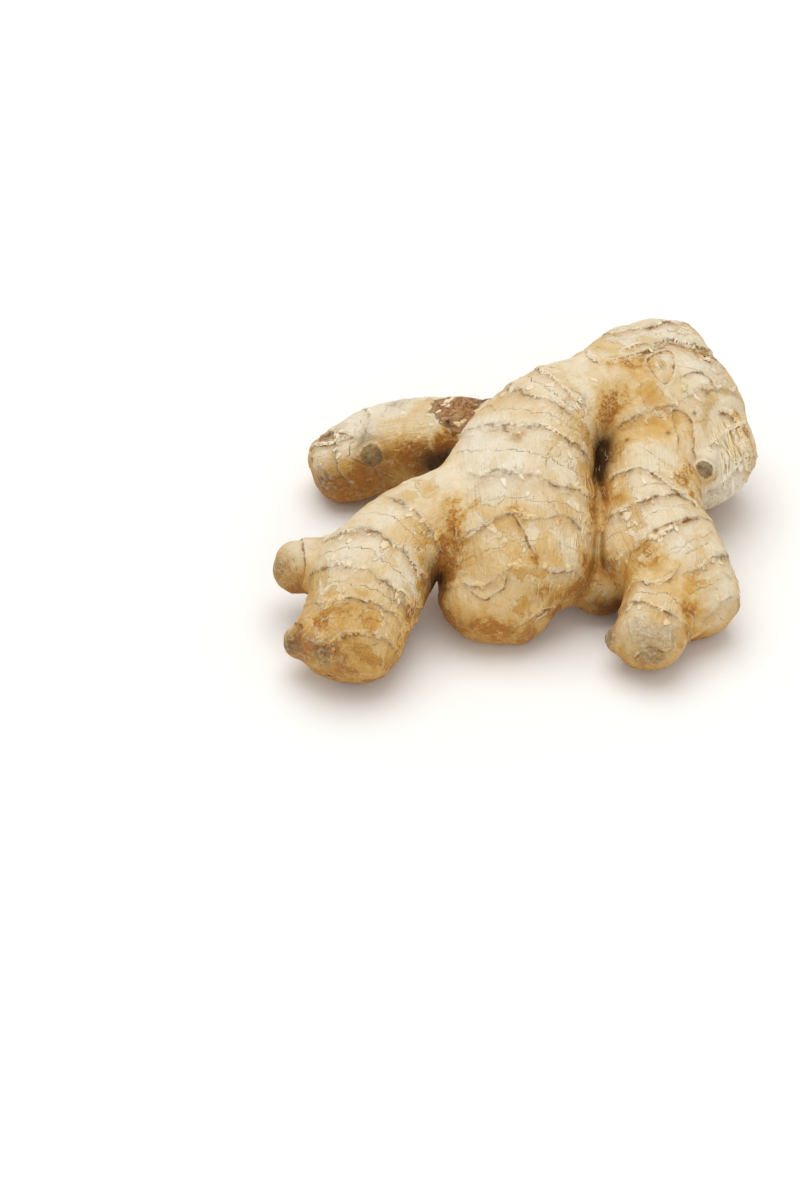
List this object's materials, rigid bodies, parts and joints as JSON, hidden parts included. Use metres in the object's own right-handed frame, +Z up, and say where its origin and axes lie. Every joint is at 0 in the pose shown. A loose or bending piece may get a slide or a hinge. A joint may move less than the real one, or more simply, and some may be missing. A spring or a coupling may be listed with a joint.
{
  "type": "ginger root",
  "caption": "Fresh whole hand of ginger: a knobbly rhizome of swollen, ringed fingers branching off each other, lying on small flat spots.",
  "frame": {"origin": "middle of the bounding box in x and y, on the surface that the root lies on", "axes": "+Z up, +X along the root's longest side, towards the thick crown end; the front view looks along +Y"},
  "size_m": [0.1274, 0.1092, 0.0466],
  "materials": {
    "ginger_skin": "dry, papery, matte with a slight sheen"
  },
  "bodies": {
    "root": {"ginger_root": "ginger_skin"}
  },
  "joints": []
}
